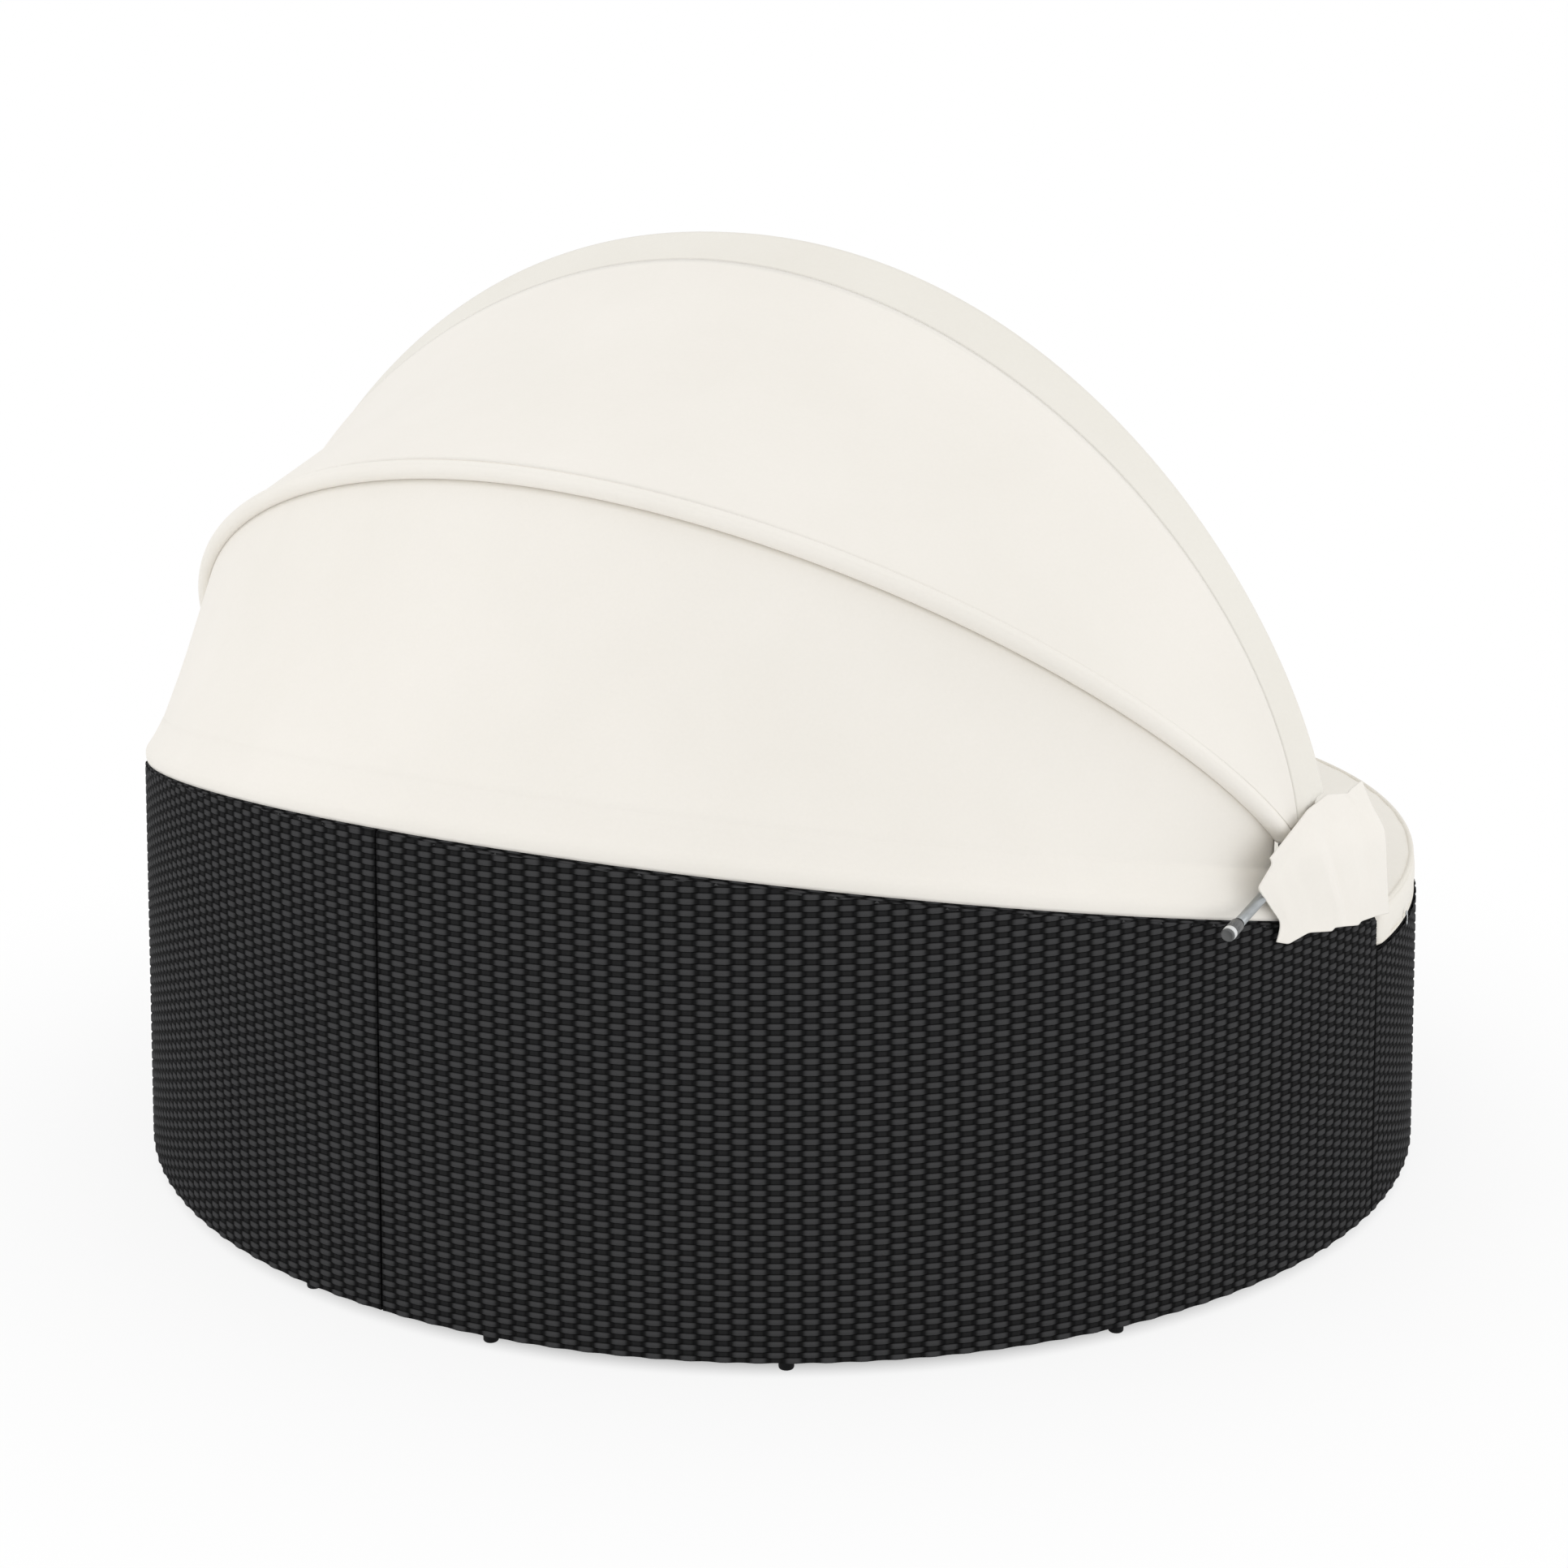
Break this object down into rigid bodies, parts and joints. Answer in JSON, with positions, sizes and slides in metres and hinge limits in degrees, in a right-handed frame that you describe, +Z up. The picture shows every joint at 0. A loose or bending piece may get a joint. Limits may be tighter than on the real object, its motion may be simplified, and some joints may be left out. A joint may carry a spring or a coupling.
{
  "type": "outdoor daybed",
  "caption": "Round woven garden daybed of quarter modules with loose cushions, a raised wicker back and a folding fabric canopy on hinged hoops.",
  "frame": {"origin": "on the floor at the centre of the round bed", "axes": "+Z up, +Y towards the high back, so the open front faces -Y; +X is the left side of someone who sits in it"},
  "size_m": [2.006, 2, 1.385],
  "materials": {
    "wicker": "flat black resin strips in plain weave, finely reeded",
    "coated_frame": "black powder coat on aluminium bar and tube",
    "canopy_cloth": "cream woven outdoor cloth",
    "cushion_cloth": "cream woven outdoor cloth over foam, piped edges",
    "bare_metal": "satin grey tube",
    "cap": "dark grey stepped end cap",
    "foot": "black moulded plastic"
  },
  "bodies": {
    "root": {"back_left_wicker_shell": "wicker", "back_left_seat_frame": "coated_frame", "back_left_seat_deck": "wicker", "back_left_cushion": "cushion_cloth", "back_left_foot_1": "foot", "back_left_foot_2": "foot", "back_left_foot_3": "foot", "back_left_foot_4": "foot", "back_left_centre_foot": "foot", "back_right_wicker_shell": "wicker", "back_right_seat_frame": "coated_frame", "back_right_seat_deck": "wicker", "back_right_cushion": "cushion_cloth", "back_right_foot_1": "foot", "back_right_foot_2": "foot", "back_right_foot_3": "foot", "back_right_foot_4": "foot", "back_right_centre_foot": "foot", "front_right_wicker_shell": "wicker", "front_right_seat_frame": "coated_frame", "front_right_seat_deck": "wicker", "front_right_cushion": "cushion_cloth", "front_right_foot_1": "foot", "front_right_foot_2": "foot", "front_right_foot_3": "foot", "front_right_foot_4": "foot", "front_right_centre_foot": "foot", "front_left_wicker_shell": "wicker", "front_left_seat_frame": "coated_frame", "front_left_seat_deck": "wicker", "front_left_cushion": "cushion_cloth", "front_left_foot_1": "foot", "front_left_foot_2": "foot", "front_left_foot_3": "foot", "front_left_foot_4": "foot", "front_left_centre_foot": "foot", "back_left_wall_frame": "coated_frame", "back_right_wall_frame": "coated_frame", "left_hinge_bracket": "coated_frame", "left_side_bar": "bare_metal", "left_bar_rear_cap": "cap", "left_bar_front_cap": "cap", "left_hinge_bolt": "bare_metal", "left_hinge_nut": "bare_metal", "left_hinge_flap": "canopy_cloth", "right_hinge_bracket": "coated_frame", "right_side_bar": "bare_metal", "right_bar_rear_cap": "cap", "right_bar_front_cap": "cap", "right_hinge_bolt": "bare_metal", "right_hinge_nut": "bare_metal", "right_hinge_flap": "canopy_cloth", "canopy_rim_rail": "coated_frame", "canopy_rear_panel": "canopy_cloth", "front_right_zip_pull": "bare_metal"},
    "mid_bow": {"canopy_mid_bow": "coated_frame", "canopy_front_panel": "canopy_cloth"},
    "front_bow": {"canopy_front_bow": "coated_frame", "canopy_front_band": "canopy_cloth"}
  },
  "joints": [
    {"name": "mid_bow_hinge", "type": "hinge", "parent": "root", "child": "mid_bow", "pos_m": [0, 0.214, 0.612], "axis": [-1, 0, 0], "range_deg": [0, 30], "deforming": ["canopy_rear_panel"]},
    {"name": "front_bow_hinge", "type": "hinge", "parent": "mid_bow", "child": "front_bow", "pos_m": [0, 0.214, 0.612], "axis": [-1, 0, 0], "range_deg": [0, 30], "deforming": ["canopy_front_panel"]}
  ],
  "couplings": [
    {"joint": "front_bow_hinge", "follows": "mid_bow_hinge", "ratio": 1}
  ]
}
